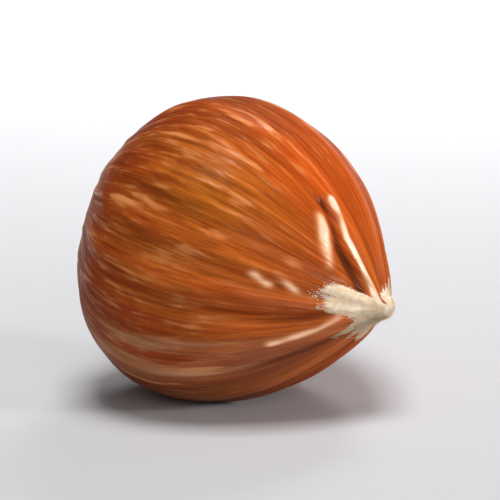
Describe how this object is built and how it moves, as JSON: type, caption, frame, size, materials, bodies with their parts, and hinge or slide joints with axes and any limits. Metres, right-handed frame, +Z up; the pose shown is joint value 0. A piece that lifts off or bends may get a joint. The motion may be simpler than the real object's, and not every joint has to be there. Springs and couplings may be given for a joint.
{
  "type": "hazelnut",
  "caption": "Hazelnut in its shell, a brown ribbed nut with a pale pointed tip and a round scar, lying on its side.",
  "frame": {"origin": "middle of the small flat spot that the nut rests on", "axes": "+Z up, away from the surface it rests on; +X level, towards the side that the tip points to"},
  "size_m": [0.0205, 0.0203, 0.019],
  "materials": {
    "shell": "satin orange-brown nut shell with streaks from scar to tip, a dull tan scar and a pale felted tip"
  },
  "bodies": {
    "root": {"hazelnut": "shell"}
  },
  "joints": []
}
